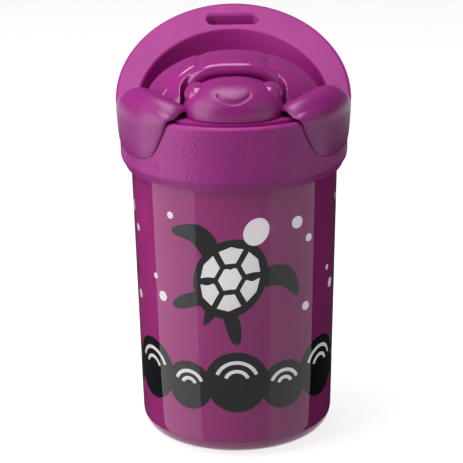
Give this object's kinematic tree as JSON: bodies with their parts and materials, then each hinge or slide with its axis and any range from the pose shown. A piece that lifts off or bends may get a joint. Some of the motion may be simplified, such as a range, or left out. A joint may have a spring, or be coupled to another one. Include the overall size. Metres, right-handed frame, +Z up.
{
  "type": "sippy cup",
  "caption": "Toddler's double-walled tumbler with a screw collar, a raised hood with a strap slot, and a flip-up turtle-shaped cap over a soft spout",
  "frame": {"origin": "centre of the grip pad's flat underside, on the cup's axis, where it stands", "axes": "+Z up along the cup's axis, the turtle's face looks towards -Y, +X is the turtle's left"},
  "size_m": [0.0862, 0.0897, 0.1527],
  "materials": {
    "tinted_clear": "clear tinted wall, polished",
    "inner_plum": "polished",
    "deep_plum": "fine satin",
    "collar_purple": "satin",
    "shell_purple": "high gloss",
    "soft_silicone": "soft matte",
    "grip_rubber": "soft matte",
    "spring_steel": "plain"
  },
  "bodies": {
    "cup": {"outer_shell": "tinted_clear", "inner_cup": "inner_plum", "base_cap": "deep_plum", "vent_pin": "deep_plum", "vent_tip": "soft_silicone"},
    "grip": {"grip_pad": "grip_rubber", "pad_carrier": "deep_plum", "stem_clip": "spring_steel", "release_spring": "spring_steel"},
    "lift": {"seal_ring": "soft_silicone"},
    "lid": {"collar": "collar_purple", "lid_deck": "deep_plum", "spout": "soft_silicone", "valve_cup": "deep_plum", "valve_membrane": "soft_silicone", "air_vent": "soft_silicone", "hinge_pin": "spring_steel"},
    "cap": {"cap_liner": "collar_purple", "turtle_shell": "shell_purple", "turtle_head": "collar_purple", "left_eye": "shell_purple", "right_eye": "shell_purple", "left_flipper": "collar_purple", "right_flipper": "collar_purple", "spout_plug": "soft_silicone"}
  },
  "joints": [
    {"name": "grip_slide", "type": "slide", "parent": "cup", "child": "grip", "axis": [0, 0, 1], "range_m": [-0.0018, 0], "stiffness_N_per_m": 300, "springref_m": 0.001, "deforming": ["release_spring"]},
    {"name": "lid_lift", "type": "slide", "parent": "cup", "child": "lift", "axis": [0, 0, 1], "range_m": [0, 0.0225]},
    {"name": "lid_turn", "type": "hinge", "parent": "lift", "child": "lid", "pos_m": [0, 0, 0], "axis": [0, 0, 1], "range_deg": [0, 541]},
    {"name": "cap_hinge", "type": "hinge", "parent": "lid", "child": "cap", "pos_m": [0, 0.025, 0.131], "axis": [-1, 0, 0], "range_deg": [0, 78]}
  ],
  "couplings": [
    {"joint": "lid_turn", "follows": "lid_lift", "rad_per_m": 418.88}
  ]
}
